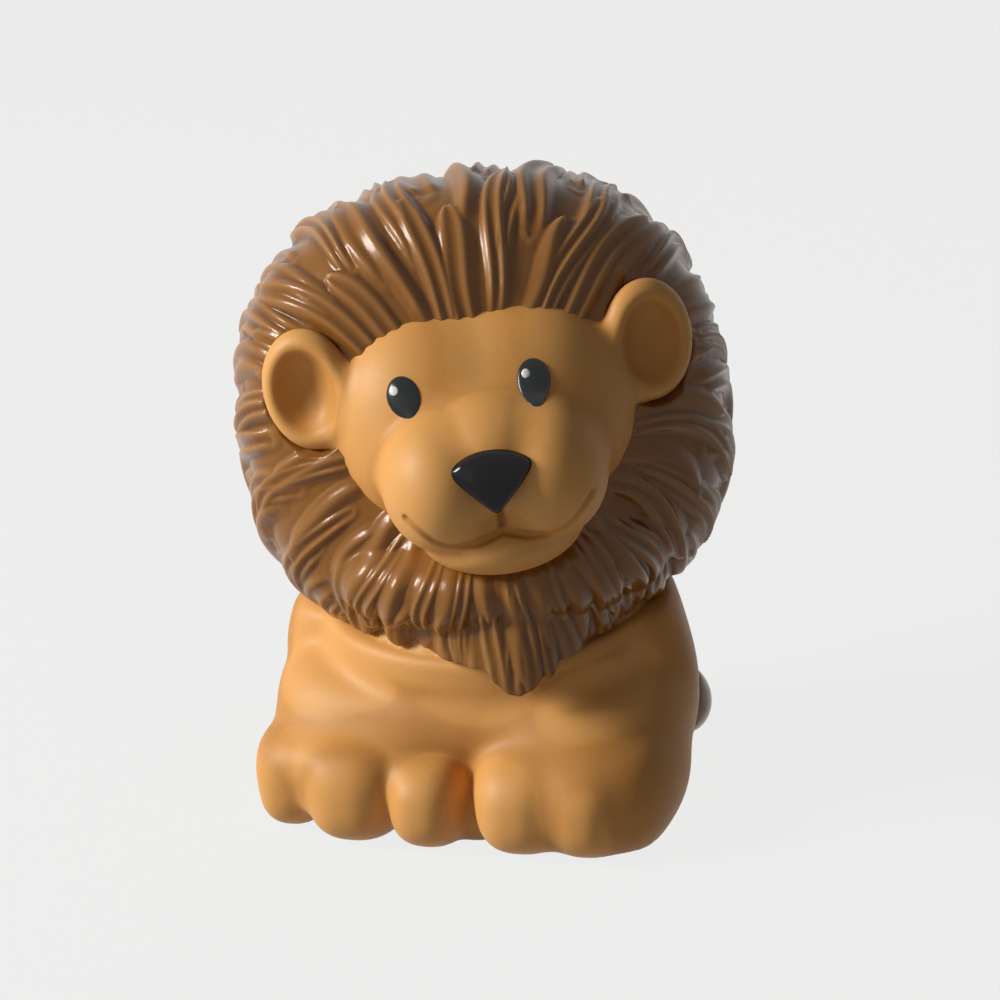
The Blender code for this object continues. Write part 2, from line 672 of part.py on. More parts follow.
def inlay(name, centre, turn, radii, segments, carrier, finish):
    """A lens-shaped piece, and the pocket for it in what carries it."""
    shape = bmesh.new()
    add_lump(shape, centre, radii, turn, segments)
    made = from_shape(name, shape, finish)
    made.data.shade_smooth()
    pocket = bmesh.new()
    add_lump(pocket, centre, [radius + INLAY_GAP for radius in radii], turn, segments)
    cut(carrier, from_shape(name + "_pocket", pocket))
    return made


def make_eye(face, side, name):
    """One black eye set into the face, with its white dot."""
    place, normal = surface_point(face, side * EYE_SPACING / 2 - EYE_SHIFT, HEAD.z + EYE_RISE)
    turn = normal.to_track_quat("Z", "Y").to_matrix().to_4x4()
    radii = Vector((EYE_WIDTH, EYE_HEIGHT, EYE_DEPTH)) / 2
    centre = place - normal * EYE_DEPTH * 0.22
    eye = inlay(name, centre, turn, radii, 14, face, BLACK)
    across_share, up_share = -0.42, 0.28
    out_share = math.sqrt(1 - across_share ** 2 - up_share ** 2)
    offset = Vector((across_share * radii.x, up_share * radii.y, out_share * radii.z))
    dot = (GLINT_RADIUS, GLINT_RADIUS, GLINT_RADIUS * 0.6)
    glint = inlay(name + "_glint", centre + turn.to_3x3() @ offset, turn, dot, 8, eye, WHITE)
    return eye, glint


def make_mouth(face):
    """The line of the mouth and the groove above it, cut into the face."""
    # Across, in widths of the muzzle, and up from the mouth's middle, in heights of the muzzle
    smile_shares = ((-0.43, 0.32), (-0.37, 0.18), (-0.28, 0.02), (-0.15, -0.04), (0.0, 0.0),
                    (0.15, -0.04), (0.28, 0.02), (0.37, 0.18), (0.43, 0.32))
    groove_shares = ((0.0, 0.30), (0.0, 0.15), (0.0, 0.0))
    for label, points in (("smile", smile_shares), ("groove", groove_shares)):
        path = []
        for across, up in points:
            place, _ = surface_point(face, across * MUZZLE_WIDTH, HEAD.z - MOUTH_DROP + up * MUZZLE_HEIGHT)
            path.append((place, MOUTH_RADIUS))
        shape = bmesh.new()
        add_strands(shape, [path])
        bmesh.ops.remove_doubles(shape, verts=shape.verts, dist=MERGE)
        cut(face, from_shape(label, shape))


def lie_round(body, angle, offset):
    """A place that stands off the body by the offset, at an angle round the trunk."""
    out = Vector((math.cos(angle), math.sin(angle), 0))
    middle = Vector((0, TRUNK_BACK, TAIL_LIFT))
    _, place, _, _ = body.ray_cast(middle + out * FAR, -out)
    return place + out * offset


def make_tail(body):
    """The tail lies round the left haunch, with its tuft at the end."""
    stem = []
    steps = 10
    for i in range(steps + 1):
        angle = TAIL_START + (TAIL_END - TAIL_START) * i / steps
        stand_share = 0.35 if i > 1 else -0.6
        stem.append((lie_round(body, angle, TAIL_RADIUS * stand_share), TAIL_RADIUS))
    tuft = []
    root_share, belly_share, tip_share = 0.62, 1.6, 0.45
    for i in range(steps + 1):
        share = i / steps
        angle = TAIL_END + (TUFT_END - TAIL_END) * (share - 0.06)
        belly = root_share + belly_share * share * (1 - share)
        thickness = TUFT_RADIUS * belly * (1 - tip_share * share ** 3)
        tuft.append((lie_round(body, angle, -thickness * 0.45), thickness))
    shape = bmesh.new()
    add_strands(shape, [stem])
    tail = soft_form("tail", shape, COARSE_VOXEL * 0.8, 3, 420, TAN)
    shape = bmesh.new()
    add_strands(shape, [tuft])
    tassel = soft_form("tail_tuft", shape, COARSE_VOXEL * 0.8, 3, 420, BROWN)
    return tail, tassel


def hang_on_neck(pieces):
    """Puts the head's pieces under an empty on the neck's axis, and turns it."""
    pivot = bpy.data.objects.new("neck_pivot", None)
    PARTS.objects.link(pivot)
    for piece in pieces:
        piece.parent = pivot
        piece.matrix_parent_inverse = HEAD_NECK.inverted()
    pivot.matrix_world = NECK_FRAME @ Matrix.Rotation(HEAD_TURN, 4, "Z")
    bpy.context.view_layer.update()


def build():
    """The whole figure."""
    body = make_body()
    make_base()
    body_cutters = set(CUTTERS.objects)
    tail, tuft = make_tail(body)
    cut(tail, grown(body, "body_space", SEAT_GAP))
    cut(tuft, bpy.data.objects["body_space"], grown(tail, "tail_space", SEAT_GAP))
    body_cutters |= set(CUTTERS.objects)
    face = make_face()
    head = [face, make_nose(face)]
    head += make_eye(face, 1, "left_eye")
    head += make_eye(face, -1, "right_eye")
    make_mouth(face)
    head += make_mane(face)
    head += make_neck()
    hang_on_neck(head + [cutter for cutter in CUTTERS.objects if cutter not in body_cutters])


build()
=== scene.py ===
"""The looks of a small moulded toy lion whose head turns on its neck.

Shapes are worked out in millimetres and turned into metres when a mesh is made. The head's pieces are shaped
upright, looking straight ahead along -Y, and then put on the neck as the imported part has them.
"""

import math

import bmesh
import bpy
import numpy as np
from mathutils import Matrix, Vector


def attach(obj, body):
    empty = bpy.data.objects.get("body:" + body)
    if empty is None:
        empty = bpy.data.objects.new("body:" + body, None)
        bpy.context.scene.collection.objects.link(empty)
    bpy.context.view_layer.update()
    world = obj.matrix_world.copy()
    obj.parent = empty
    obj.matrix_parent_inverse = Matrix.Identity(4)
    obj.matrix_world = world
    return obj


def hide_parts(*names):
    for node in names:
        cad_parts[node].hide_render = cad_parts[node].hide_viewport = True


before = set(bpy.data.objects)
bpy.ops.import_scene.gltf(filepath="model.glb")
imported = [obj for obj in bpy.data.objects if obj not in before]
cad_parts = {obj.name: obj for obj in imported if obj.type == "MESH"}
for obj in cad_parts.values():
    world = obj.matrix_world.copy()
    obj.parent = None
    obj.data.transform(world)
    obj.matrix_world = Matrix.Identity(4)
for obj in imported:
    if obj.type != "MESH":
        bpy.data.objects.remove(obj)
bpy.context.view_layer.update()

MM = 0.001

# The neck and how the head sits on it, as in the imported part
NECK = Vector((0, -1.7, 22.2))
NECK_LEAN = math.radians(8)
HEAD_TURN = math.radians(20)
HEAD_TILT = math.radians(1.3)
HEAD_RISE = 16.9
NECK_FRAME = Matrix.Translation(NECK) @ Matrix.Rotation(NECK_LEAN, 4, "X")
HEAD = NECK_FRAME @ Vector((0, 0, HEAD_RISE))
HEAD_NECK = (Matrix.Translation(HEAD) @ Matrix.Rotation(HEAD_TILT, 4, "Y")
             @ Matrix.Rotation(NECK_LEAN, 4, "X") @ Matrix.Translation((0, 0, -HEAD_RISE)))
# From the upright head, with its middle at the origin, to where it is
HEAD_PLACE = (NECK_FRAME @ Matrix.Rotation(HEAD_TURN, 4, "Z") @ HEAD_NECK.inverted()
              @ Matrix.Translation(HEAD))
STILL = Matrix()


# Fields: how far points are from a soft form, negative inside

def lump(centre, radii, soft=0.0, turn=None, hollow=False, power=2.0):
    """One egg of a soft form, squarer with a higher power.

    Its turn is a rotation matrix, and hollow takes it away instead."""
    turned = np.array(turn.to_3x3()) if turn else None
    return {"centre": np.array(centre, float), "radii": np.array(radii, float), "soft": soft, "turn": turned,
            "hollow": hollow, "power": power}


def egg_distance(points, egg):
    """About how far the points are from one egg."""
    local = points - egg["centre"]
    if egg["turn"] is not None:
        local = local @ egg["turn"]
    power = egg["power"]
    shares = np.abs(local) / egg["radii"]
    near = np.maximum((shares ** power).sum(axis=1), 1e-9) ** (1 / power)
    slope = np.linalg.norm((shares / near[:, None]) ** (power - 1) / egg["radii"], axis=1)
    return (near - 1) / np.maximum(slope, 1e-9)


def smooth_min(a, b, soft):
    """The smaller of two fields, rounded where they meet."""
    share = np.maximum(soft - np.abs(a - b), 0) / max(soft, 1e-6)
    return np.minimum(a, b) - share * share * soft / 4


def form_distance(points, form):
    """About how far the points are from a form of several eggs."""
    total = egg_distance(points, form[0])
    for egg in form[1:]:
        each = egg_distance(points, egg)
        if egg["hollow"]:
            total = -smooth_min(-total, each, egg["soft"])
        else:
            total = smooth_min(total, each, egg["soft"])
    return total


def smooth_max(a, b, soft):
    """The larger of two fields, rounded where they meet."""
    return -smooth_min(-a, -b, soft)


# The share of a field's value that a step of a march goes, for fields that are only about right
MARCH_SHARE, MARCH_STEPS, MARCH_REACH = 0.7, 70, 60.0


def march(distance, start, way):
    """Where a line from outside first meets a form."""
    start, way = np.array(start, float), np.array(way, float)
    way = way / np.linalg.norm(way)
    gone = 0.0
    while gone < MARCH_REACH:
        here = distance((start + way * gone)[None])[0]
        if here < 0.01:
            break
        gone += MARCH_SHARE * here
    return start + way * gone


def slope_of(points, distance):
    """A field's value at the points, and the direction in which it grows fastest, with its size."""
    step = 0.01
    here = distance(points)
    grown = [(distance(points + step * np.eye(3)[axis]) - here) / step for axis in range(3)]
    return here, np.stack(grown, axis=1)


def settle(points, distance, rounds=4):
    """Moves points on to the skin of a field."""
    for _ in range(rounds):
        here, slope = slope_of(points, distance)
        size = np.maximum((slope ** 2).sum(axis=1), 0.05)
        step = slope * (here / size)[:, None]
        length = np.linalg.norm(step, axis=1)
        points = points - step * np.minimum(1, 0.8 / np.maximum(length, 1e-9))[:, None]
    return points


# Meshes

def mesh_points(mesh):
    """A mesh's vertices as an array."""
    flat = np.empty(len(mesh.vertices) * 3)
    mesh.vertices.foreach_get("co", flat)
    return flat.reshape(-1, 3)


def set_points(mesh, points):
    """Puts an array back as a mesh's vertices."""
    mesh.vertices.foreach_set("co", np.ascontiguousarray(points, dtype=np.float32).ravel())
    mesh.update()


def mesh_edges(mesh):
    """A mesh's edges as pairs of vertex numbers."""
    flat = np.empty(len(mesh.edges) * 2, dtype=np.int64)
    mesh.edges.foreach_get("vertices", flat)
    return flat.reshape(-1, 2)


def relaxed(points, edges, share=0.5, rounds=1):
    """Points moved part of the way to the middle of their neighbours."""
    count = np.bincount(edges.ravel(), minlength=len(points)).astype(float)
    for _ in range(rounds):
        total = np.zeros_like(points)
        for axis in range(points.shape[1]):
            total[:, axis] = (np.bincount(edges[:, 0], points[edges[:, 1], axis], len(points))
                              + np.bincount(edges[:, 1], points[edges[:, 0], axis], len(points)))
        points = points + share * (total / np.maximum(count, 1)[:, None] - points)
    return points


def applied(source):
    """An object with its modifiers applied."""
    bpy.context.view_layer.update()
    graph = bpy.context.evaluated_depsgraph_get()
    mesh = bpy.data.meshes.new_from_object(source.evaluated_get(graph))
    source.modifiers.clear()
    source.data = mesh
    return source


def shown(name, mesh):
    """An object with the mesh, in the scene."""
    made = bpy.data.objects.new(name, mesh)
    bpy.context.scene.collection.objects.link(made)
    return made


# Segments and rings of the balls that a soft form's skin starts from
BALL_SEGMENTS, BALL_RINGS = 40, 24


def soft_skin(name, form, voxel, distance, rounds=3):
    """A smooth even skin over a form of several eggs, still in millimetres."""
    shape = bmesh.new()
    for egg in form:
        if egg["hollow"]:
            continue
        turn = Matrix(egg["turn"].tolist()).to_4x4() if egg["turn"] is not None else Matrix()
        matrix = Matrix.Translation(egg["centre"]) @ turn @ Matrix.Diagonal((*egg["radii"], 1))
        bmesh.ops.create_uvsphere(
            shape, u_segments=BALL_SEGMENTS, v_segments=BALL_RINGS, radius=1, matrix=matrix)
    mesh = bpy.data.meshes.new(name)
    shape.to_mesh(mesh)
    shape.free()
    made = shown(name, mesh)
    remesh = made.modifiers.new("skin", "REMESH")
    remesh.mode = "VOXEL"
    remesh.voxel_size = voxel
    applied(made)
    points, edges = mesh_points(made.data), mesh_edges(made.data)
    for _ in range(rounds):
        points = settle(points, distance)
        points = relaxed(points, edges, 0.5, 2)
    set_points(made.data, settle(points, distance))
    return made


def crease_shade_mask(mesh, form, width):
    """How deep in a crease between the eggs each point of a skin lies, from 0 to 1, as a mask for painted
    shade.
    """
    points = mesh_points(mesh)
    off = np.min([egg_distance(points, egg) for egg in form if not egg["hollow"]], axis=0)
    return relaxed(np.clip(off / width, 0, 1)[:, None], mesh_edges(mesh), 0.5, 3)[:, 0]


def placed(made, matrix):
    """Puts a finished mesh, still in millimetres, where it belongs, in metres."""
    made.data.transform(Matrix.Scale(MM, 4) @ matrix)
    made.data.shade_smooth()
    return made


def finish(made, material, body, slot, *nodes):
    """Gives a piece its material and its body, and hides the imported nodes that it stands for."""
    made.data.materials.clear()
    made.data.materials.append(material)
    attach(made, body)
    if nodes:
        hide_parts(*nodes)
    return made


def add_values(mesh, name, values):
    """Keeps a value for each vertex that the materials can read."""
    layer = mesh.attributes.new(name, "FLOAT", "POINT")
    layer.data.foreach_set("value", np.ascontiguousarray(values, dtype=np.float32))


# Materials

def node(tree, kind, **values):
    """A new node with some of its inputs or settings."""
    made = tree.nodes.new(kind)
    for name, value in values.items():
        if hasattr(made, name):
            setattr(made, name, value)
        else:
            made.inputs[name.replace("_", " ")].default_value = value
    return made


# Scales of the broad unevenness and of the fine grain, and how deep the grain is in metres
BROAD_SCALE, FINE_SCALE, GRAIN_DEPTH = 90.0, 1500.0, 0.0002
# How far the unevenness sways the colour, and what it starts from: with the attribute of painted light and
# shade, and alone
SWAY, PAINTED_LIGHT_SHIFT = 0.30, 0.15
SWAY_ALONE, START_ALONE = 1.4, -0.2
COAT_ROUGHNESS = 0.12


def moulded(name, colours, rough, grain, attribute=None, coat=0.0, shine=0.5, tint=(1, 1, 1)):
    """Moulded vinyl: colours from deep to light, uneven gloss and a fine grain.

    With an attribute the colours run from painted shade to painted highlight; alone they are a random tone
    from the noise. The first colour shows where the attribute is low, as painted shade, or else in the
    noise's hollows."""
    made = bpy.data.materials.new(name)
    made.use_nodes = True
    tree = made.node_tree
    shader = tree.nodes["Principled BSDF"]
    place = node(tree, "ShaderNodeTexCoord")
    broad = node(tree, "ShaderNodeTexNoise", Scale=BROAD_SCALE, Detail=3.0, Roughness=0.5)
    fine = node(tree, "ShaderNodeTexNoise", Scale=FINE_SCALE, Detail=4.0, Roughness=0.6)
    for noise in (broad, fine):
        tree.links.new(place.outputs["Object"], noise.inputs["Vector"])
    ramp = node(tree, "ShaderNodeValToRGB")
    points = ramp.color_ramp.elements
    points[0].position, points[1].position = 0.0, 1.0
    points[0].color = (*colours[0], 1)
    points[1].color = (*colours[-1], 1)
    for i, colour in enumerate(colours[1:-1]):
        points.new((i + 1) / (len(colours) - 1)).color = (*colour, 1)
    sway = node(tree, "ShaderNodeMath", operation="MULTIPLY_ADD")
    tree.links.new(broad.outputs["Fac"], sway.inputs[0])
    # The attribute is low for painted shade in creases and grooves, and high for painted highlight on the
    # mane's ridges
    if attribute:
        reader = node(tree, "ShaderNodeAttribute", attribute_name=attribute)
        shift = node(tree, "ShaderNodeMath", operation="SUBTRACT")
        tree.links.new(reader.outputs["Fac"], shift.inputs[0])
        shift.inputs[1].default_value = PAINTED_LIGHT_SHIFT
        sway.inputs[1].default_value = SWAY
        tree.links.new(shift.outputs[0], sway.inputs[2])
    else:
        sway.inputs[1].default_value = SWAY_ALONE
        sway.inputs[2].default_value = START_ALONE
    tree.links.new(sway.outputs[0], ramp.inputs["Fac"])
    tree.links.new(ramp.outputs["Color"], shader.inputs["Base Color"])
    gloss = node(tree, "ShaderNodeMapRange")
    gloss.inputs["To Min"].default_value = rough[0]
    gloss.inputs["To Max"].default_value = rough[1]
    tree.links.new(broad.outputs["Fac"], gloss.inputs["Value"])
    tree.links.new(gloss.outputs["Result"], shader.inputs["Roughness"])
    bump = node(tree, "ShaderNodeBump", Strength=grain, Distance=GRAIN_DEPTH)
    tree.links.new(fine.outputs["Fac"], bump.inputs["Height"])
    tree.links.new(bump.outputs["Normal"], shader.inputs["Normal"])
    shader.inputs["Specular IOR Level"].default_value = shine
    shader.inputs["Specular Tint"].default_value = (*tint, 1)
    shader.inputs["Coat Weight"].default_value = coat
    shader.inputs["Coat Roughness"].default_value = COAT_ROUGHNESS
    return made


# The first tan and brown colours are painted shade for creases and grooves; the last are the lighter colours
# of raised parts, painted highlight on the mane's ridges
TAN = moulded(
    "tan vinyl", [(0.20, 0.058, 0.006), (0.66, 0.305, 0.075), (0.80, 0.410, 0.128)],
    rough=(0.44, 0.58), grain=0.10, attribute="painted_light_and_shade", shine=0.30)
BROWN = moulded(
    "brown vinyl", [(0.045, 0.014, 0.001), (0.245, 0.096, 0.015), (0.400, 0.190, 0.062)],
    rough=(0.20, 0.33), grain=0.08, attribute="painted_light_and_shade", coat=0.15, shine=0.20, tint=(1.0, 0.80, 0.70))
BLACK = moulded(
    "black gloss", [(0.003, 0.003, 0.003), (0.007, 0.007, 0.007)],
    rough=(0.09, 0.17), grain=0.02, shine=0.22)
EYE = moulded(
    "charcoal gloss", [(0.006, 0.009, 0.008), (0.015, 0.021, 0.019)],
    rough=(0.16, 0.26), grain=0.02, shine=0.3)
WHITE = moulded("white gloss", [(0.80, 0.80, 0.79), (0.90, 0.90, 0.89)], rough=(0.20, 0.30), grain=0.02)
GREY = moulded("neck plastic", [(0.45, 0.45, 0.43), (0.58, 0.58, 0.55)], rough=(0.38, 0.55), grain=0.10)


# The joint between body and head, turned about the neck's axis

DOME_RISE, DOME_FLAT, DOME_RADIUS, RIM_DROP = 3.0, 8.0, 15.0, 1.6
# The room in front of the chest in which the beard's tip sweeps
SWEEP_RADIUS, SWEEP_DROP, SWEEP_BACK, SWEEP_SOFT, TIP_WIDTH = 18.3, 4.6, 9.4, 1.5, 9.0
RUNNING_GAP = 0.4


def dome_height(radius, gap=0.0):
    """How high above the neck's middle the body's top is, at a distance from the neck's axis."""
    across = np.clip((radius - DOME_FLAT) / (DOME_RADIUS - DOME_FLAT + gap), 0, 1)
    return DOME_RISE - (DOME_RISE + RIM_DROP) * (1 - np.sqrt(1 - across ** 2)) + gap


def in_frame(points, matrix):
    """The points as the frame of the matrix has them."""
    inverse = np.array(matrix.inverted())
    return points @ inverse[:3, :3].T + inverse[:3, 3]


def above_body(points):
    """How far the points stand above the dome and rim, and in the room of the beard's tip."""
    local = in_frame(points, NECK_FRAME)
    radius = np.hypot(local[:, 0], local[:, 1])
    top = local[:, 2] - dome_height(radius)
    front = smooth_min(radius - SWEEP_RADIUS, -SWEEP_BACK - points[:, 1], SWEEP_SOFT)
    return top, smooth_min(front, local[:, 2] + SWEEP_DROP, SWEEP_SOFT)


# Body

# Each toe's place across and back, its half width and half height, and how softly it joins its paw
TOES = ((-18.3, -12.0, 3.6, 5.0, 0.7), (-11.1, -14.8, 5.0, 5.2, 0.6), (-3.5, -15.1, 4.2, 4.8, 0.6),
        (5.7, -15.5, 4.7, 5.1, 1.8), (12.2, -15.1, 3.6, 4.9, 2.4), (15.7, -12.4, 2.9, 4.7, 2.4))
TOE_HALF_LENGTH, TOE_SINK, TOE_POWER, KNUCKLE_POWER, LEG_POWER = 7.4, 0.2, 2.5, 2.4, 2.6


def body_form():
    """Trunk, breast, haunches, legs, paws and toes. The lion's left side is at +X.

    Each lump has its middle, how far it reaches each way, and how softly it joins the ones before it."""
    trunk = lump((-0.3, 1.0, 9.6), (17.2, 16.0, 14.4))
    shoulders = lump((-0.6, -1.7, 19.2), (16.7, 16.6, 9.0), 4.0)
    breast = lump((0, -6.2, 12.8), (15.0, 11.0, 8.4), 6.0)
    form = [trunk, shoulders, breast]
    # The left upper arm stands lower and closer in than the right one
    for side, across, wide, high in ((1, 10.4, 7.2, 13.3), (-1, 12.4, 8.2, 15.0)):
        haunch = lump((side * 10.0, 6.3, 7.0), (6.3, 8.4, 8.3), 3.0)
        hind_foot = lump((side * 13.4, 0.3, 2.7), (3.4, 6.5, 3.3), 1.2)
        upper_arm = lump((side * across, -4.4, high), (wide, 7.9, wide * 1.12), 6.0)
        form += [haunch, hind_foot, upper_arm]
    right_leg = lump((-10.2, -7.3, 11.4), (10.1, 9.3, 8.7), 6.0, power=LEG_POWER)
    right_elbow = lump((-16.4, -8.6, 9.6), (3.7, 5.6, 5.4), 3.0)
    left_leg = lump((10.2, -8.0, 8.7), (8.1, 10.6, 9.3), 5.0)
    right_paw = lump((-11.1, -12.7, 4.9), (8.5, 8.3, 4.7), 1.0)
    left_paw = lump((9.7, -12.7, 4.9), (8.5, 8.3, 4.7), 3.0)
    form += [right_leg, right_elbow, left_leg, right_paw, left_paw]
    for across, back, wide, tall, soft in TOES:
        middle, radii = (across, back, tall - TOE_SINK), (wide, TOE_HALF_LENGTH, tall)
        form.append(lump(middle, radii, soft, power=TOE_POWER))
    right_knuckles = lump((-11.6, -13.2, 7.2), (9.4, 7.0, 3.9), 2.4, power=KNUCKLE_POWER)
    left_knuckles = lump((10.9, -12.6, 6.4), (8.0, 7.6, 4.4), 3.5, power=KNUCKLE_POWER)
    web = lump((0.3, -12.6, 2.9), (4.6, 6.1, 4.2), 1.0)
    return form + [right_knuckles, left_knuckles, web]


BODY_FORM = body_form()
BODY_VOXEL = 0.5
# How round the body's edges are: in front of the chest, round the neck's rim, and at the ground
CHEST_ROUND, RIM_ROUND, GROUND_ROUND = 6.5, 1.2, 0.7


def body_distance(points):
    """How far points are from the body, with the joint's room above and the ground below."""
    far = form_distance(points, BODY_FORM)
    top, front = above_body(points)
    far = smooth_max(smooth_max(far, front, CHEST_ROUND), top, RIM_ROUND)
    return smooth_max(far, -points[:, 2], GROUND_ROUND)


def make_body():
    """The tan body, with painted shade darkening its creases."""
    made = soft_skin("body_skin", BODY_FORM, BODY_VOXEL, body_distance)
    points = mesh_points(made.data)
    points[:, 2] = np.maximum(points[:, 2], 0)
    set_points(made.data, points)
    # Painted shade: the body's colour is darker in its creases
    add_values(made.data, "painted_light_and_shade", 0.72 - 0.36 * crease_shade_mask(made.data, BODY_FORM, 0.45))
    return made


# Angles round the trunk from the lion's left side towards its back
TAIL_START, TAIL_END, TUFT_END = math.radians(100), math.radians(42), math.radians(8)
TAIL_LIFT, TAIL_RADIUS, TUFT_RADIUS, TAIL_STEPS, TAIL_VOXEL = 5.0, 2.0, 3.0, 14, 0.3
# How close the tail lies on the body, and how softly it and its balls join
SEAT_GAP, SEAT_SOFT, TAIL_SOFT = 0.08, 0.25, 0.8
TRUNK_MIDDLE, WELL_OUTSIDE = 1.0, 50


def lie_round(angle, offset):
    """A place that stands off the body by the offset, at an angle round the trunk."""
    out = np.array((math.cos(angle), math.sin(angle), 0))
    middle = np.array((0, TRUNK_MIDDLE, TAIL_LIFT))
    return march(body_distance, middle + out * WELL_OUTSIDE, -out) + out * offset


def make_tail():
    """The tail round the left haunch, and the tuft at its end."""
    stem, tuft = [], []
    for i in range(TAIL_STEPS + 1):
        share = i / TAIL_STEPS
        # The root is sunk in the haunch, and the stem sinks a little towards the tuft
        offset = TAIL_RADIUS * (0.15 - 0.55 * share if i > 1 else -0.6)
        place = lie_round(TAIL_START + (TAIL_END - TAIL_START) * share, offset)
        stem.append(lump(place, (TAIL_RADIUS,) * 3, TAIL_SOFT))
        # The tuft swells, thins to its end, begins before the end of the stem and lies half sunk
        thick = TUFT_RADIUS * (0.66 + 1.4 * share * (1 - share)) * (1 - 0.45 * share ** 3)
        place = lie_round(TAIL_END + (TUFT_END - TAIL_END) * (1.12 * share - 0.18), -thick * 0.52)
        tuft.append(lump(place, (thick,) * 3, TAIL_SOFT))
    pieces = []
    for name, form in (("tail_skin", stem), ("tuft_skin", tuft)):
        def distance(points, form=form):
            return smooth_max(form_distance(points, form), SEAT_GAP - body_distance(points), SEAT_SOFT)
        made = soft_skin(name, form, TAIL_VOXEL, distance)
        add_values(made.data, "painted_light_and_shade", np.full(len(made.data.vertices), 0.6))
        pieces.append(made)
    return pieces


# Head

EAR_SPREAD, EAR_FORWARD, EAR_RISE, EAR_YAW = 16.3, 7.0, 6.1, math.radians(22)


def ear_turn(side):
    """The turn that lays an ear flat: its Z axis points out of the cup."""
    return Matrix.Rotation(side * EAR_YAW, 4, "Z") @ Matrix.Rotation(math.radians(90), 4, "X")


def face_form():
    """Skull, temples, muzzle, jaw and ear cups, about the middle of the upright head."""
    skull = lump((0, 0, 0), (14.2, 14.5, 13.5))
    muzzle = lump((0, -10.8, -1.4), (10.6, 9.0, 6.0), 1.6)
    bridge = lump((0, -12.3, 1.0), (6.2, 7.2, 4.4), 1.8)
    form = [skull, muzzle, bridge]
    for side in (1, -1):
        temple = lump((side * 5.7, -4.9, 1.6), (8.5, 8.4, 10.0), 2.5)
        upper_lip = lump((side * 4.7, -13.9, -2.2), (5.7, 6.9, 6.5), 1.0)
        form += [temple, upper_lip]
    jaw = lump((0, -9.8, -5.2), (9.9, 8.0, 4.1), 0.6)
    chin = lump((0, -11.0, -8.1), (7.6, 8.2, 3.8), 1.2)
    form += [jaw, chin]
    for side in (1, -1):
        turn = ear_turn(side)
        middle = Vector((side * EAR_SPREAD, -EAR_FORWARD, EAR_RISE))
        ear = middle + turn.to_3x3() @ Vector((0, 0, -1.2))
        form.append(lump(ear, (4.5, 5.8, 2.4), 1.8, turn))
        cup = middle + turn.to_3x3() @ Vector((-side * 0.2, 0, 2.0))
        form.append(lump(cup, (3.3, 4.5, 4.0), 1.1, turn, hollow=True))
    return form


FACE_FORM = face_form()
FACE_VOXEL = 0.20
MOUTH_DROP = -5.6
# How deep the groove above the mouth and its two halves are, and how round their edges
MOUTH_DEPTHS, MOUTH_ROUND = (0.24, 0.36, 0.36), 0.25
# Across and up from the mouth's middle, from the middle to a corner
SMILE = ((0, -0.6), (1.7, -1.2), (3.35, -1.45), (4.8, -1.35), (6.05, -0.75), (7.3, 0.7), (8.5, 2.0))
PHILTRUM = ((0, 2.6), (0, 1.0), (0, -0.6))


def line_distance(points, path):
    """How far points are from a line of several stretches."""
    best = np.full(len(points), 1e9)
    for start, end in zip(path[:-1], path[1:]):
        step = end - start
        share = np.clip((points - start) @ step / step.dot(step), 0, 1)
        best = np.minimum(best, np.linalg.norm(points - start - share[:, None] * step, axis=1))
    return best


def smooth_line(points, number):
    """A line through the points, rounded by corner cutting."""
    line = np.array(points, float)
    for _ in range(number):
        near = line[:-1] * 0.75 + line[1:] * 0.25
        far = line[:-1] * 0.25 + line[1:] * 0.75
        line = np.concatenate((line[:1], np.stack((near, far), axis=1).reshape(-1, 2), line[-1:]))
    return line


BEFORE_FACE = 30.0


def plain_face(points):
    """How far points are from the face without its mouth."""
    return form_distance(points, FACE_FORM)


def front_of_face(across, up):
    """Places on the face straight behind places in front of it, and the outward directions there."""
    points = np.stack((across, np.full(len(across), -BEFORE_FACE), up), axis=1)
    for _ in range(MARCH_STEPS):
        points[:, 1] += MARCH_SHARE * plain_face(points)
    _, slope = slope_of(points, plain_face)
    return points, slope / np.linalg.norm(slope, axis=1)[:, None]


def on_face(line):
    """Places on the face, straight behind the points of a line."""
    line = np.array(line)
    return front_of_face(line[:, 0], MOUTH_DROP + line[:, 1])[0]


def mouth_lines():
    """The mouth's two halves and the groove above it."""
    lines = [on_face(smooth_line(PHILTRUM, 1))]
    for side in (1, -1):
        half = [(side * across, up) for across, up in SMILE]
        lines.append(on_face(smooth_line(half, 3)))
    return lines


MOUTH_LINES = mouth_lines()


def face_distance(points):
    """How far points are from the face, with the mouth pressed in."""
    far = form_distance(points, FACE_FORM)
    # Only the skin of the lower face, in front, comes near the mouth
    near = np.nonzero((np.abs(far) < 2) & (points[:, 1] < -8) & (points[:, 2] < 0))[0]
    if len(near):
        carve = np.full(len(near), 1e9)
        for line, depth in zip(MOUTH_LINES, MOUTH_DEPTHS):
            carve = np.minimum(carve, line_distance(points[near], line) - depth)
        far[near] = smooth_max(far[near], -carve, MOUTH_ROUND)
    return far


def make_face():
    """The tan face with its ears, with painted shade in the creases, along the mouth's groove and in the
    ears' cups.
    """
    made = soft_skin("face_skin", FACE_FORM, FACE_VOXEL, face_distance)
    points = mesh_points(made.data)
    # Painted shade: the colour is darker in the creases, along the mouth's groove and in the ears' cups
    mouth = np.min([line_distance(points, line) for line in MOUTH_LINES], axis=0)
    cup = np.min([np.abs(egg_distance(points, egg)) for egg in FACE_FORM if egg["hollow"]], axis=0)
    add_values(made.data, "painted_light_and_shade", 0.74 - 0.30 * crease_shade_mask(made.data, FACE_FORM, 0.5)
               - 0.85 * np.exp(-(mouth / 0.36) ** 2) - 0.30 * np.exp(-(cup / 0.5) ** 2))
    return made


# Mane

MANE = np.array((0, 3.2, -2.3))
MANE_HALF_WIDTH, MANE_FRONT, MANE_BACK, MANE_UP, MANE_DOWN, MANE_POWER = 23.35, 12.8, 17.0, 24.3, 19.5, 2.45
